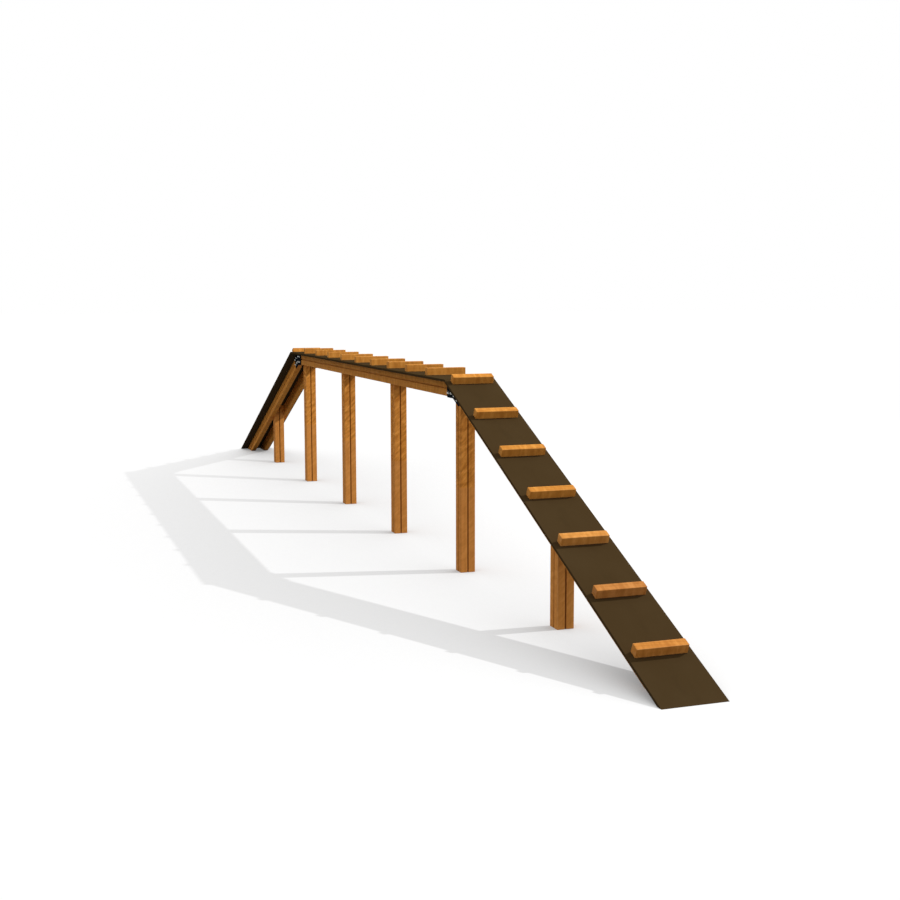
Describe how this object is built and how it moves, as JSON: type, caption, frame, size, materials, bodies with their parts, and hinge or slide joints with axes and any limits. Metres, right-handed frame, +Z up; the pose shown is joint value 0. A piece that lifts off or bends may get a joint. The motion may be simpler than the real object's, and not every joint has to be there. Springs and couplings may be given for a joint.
{
  "type": "dog ladder with bridge",
  "caption": "Wooden dog walk: a raised bridge on square posts with a sloping ramp at each end and cross slats.",
  "frame": {"origin": "on the ground under the middle of the bridge", "axes": "+X along the walk towards the near ramp, +Y across it, +Z up"},
  "size_m": [10.023, 0.329, 1.2693],
  "materials": {
    "deck_board": "dark brown film-faced plywood with a fine anti-slip print",
    "stained_wood": "honey-brown stained softwood, planed, with relief grooves",
    "slat_wood": "honey-orange stained softwood, planed, with eased edges",
    "black_steel": "blue-black powder coat, satin",
    "zinc_steel": "dull zinc plate"
  },
  "bodies": {
    "root": {"bridge_beam_left": "stained_wood", "bridge_beam_right": "stained_wood", "bridge_panel": "deck_board", "bridge_pin_1a": "zinc_steel", "bridge_pin_1b": "zinc_steel", "bridge_pin_2a": "zinc_steel", "bridge_pin_2b": "zinc_steel", "bridge_pin_3a": "zinc_steel", "bridge_pin_3b": "zinc_steel", "bridge_pin_4a": "zinc_steel", "bridge_pin_4b": "zinc_steel", "bridge_post_1": "stained_wood", "bridge_post_2": "stained_wood", "bridge_post_3": "stained_wood", "bridge_post_4": "stained_wood", "bridge_slat_1": "slat_wood", "bridge_slat_2": "slat_wood", "bridge_slat_3": "slat_wood", "bridge_slat_4": "slat_wood", "bridge_slat_5": "slat_wood", "bridge_slat_6": "slat_wood", "bridge_slat_7": "slat_wood", "bridge_slat_8": "slat_wood", "bridge_slat_9": "slat_wood", "far_joint_plate_left": "black_steel", "far_joint_plate_right": "black_steel", "far_ramp_panel": "deck_board", "far_ramp_pin_a": "zinc_steel", "far_ramp_pin_b": "zinc_steel", "far_ramp_post": "stained_wood", "far_ramp_slat_1": "slat_wood", "far_ramp_slat_2": "slat_wood", "far_ramp_slat_3": "slat_wood", "far_ramp_slat_4": "slat_wood", "far_ramp_slat_5": "slat_wood", "far_ramp_slat_6": "slat_wood", "far_ramp_slat_7": "slat_wood", "far_ramp_stringer_left": "stained_wood", "far_ramp_stringer_right": "stained_wood", "near_joint_plate_left": "black_steel", "near_joint_plate_right": "black_steel", "near_ramp_panel": "deck_board", "near_ramp_pin_a": "zinc_steel", "near_ramp_pin_b": "zinc_steel", "near_ramp_post": "stained_wood", "near_ramp_slat_1": "slat_wood", "near_ramp_slat_2": "slat_wood", "near_ramp_slat_3": "slat_wood", "near_ramp_slat_4": "slat_wood", "near_ramp_slat_5": "slat_wood", "near_ramp_slat_6": "slat_wood", "near_ramp_slat_7": "slat_wood", "near_ramp_stringer_left": "stained_wood", "near_ramp_stringer_right": "stained_wood"}
  },
  "joints": []
}
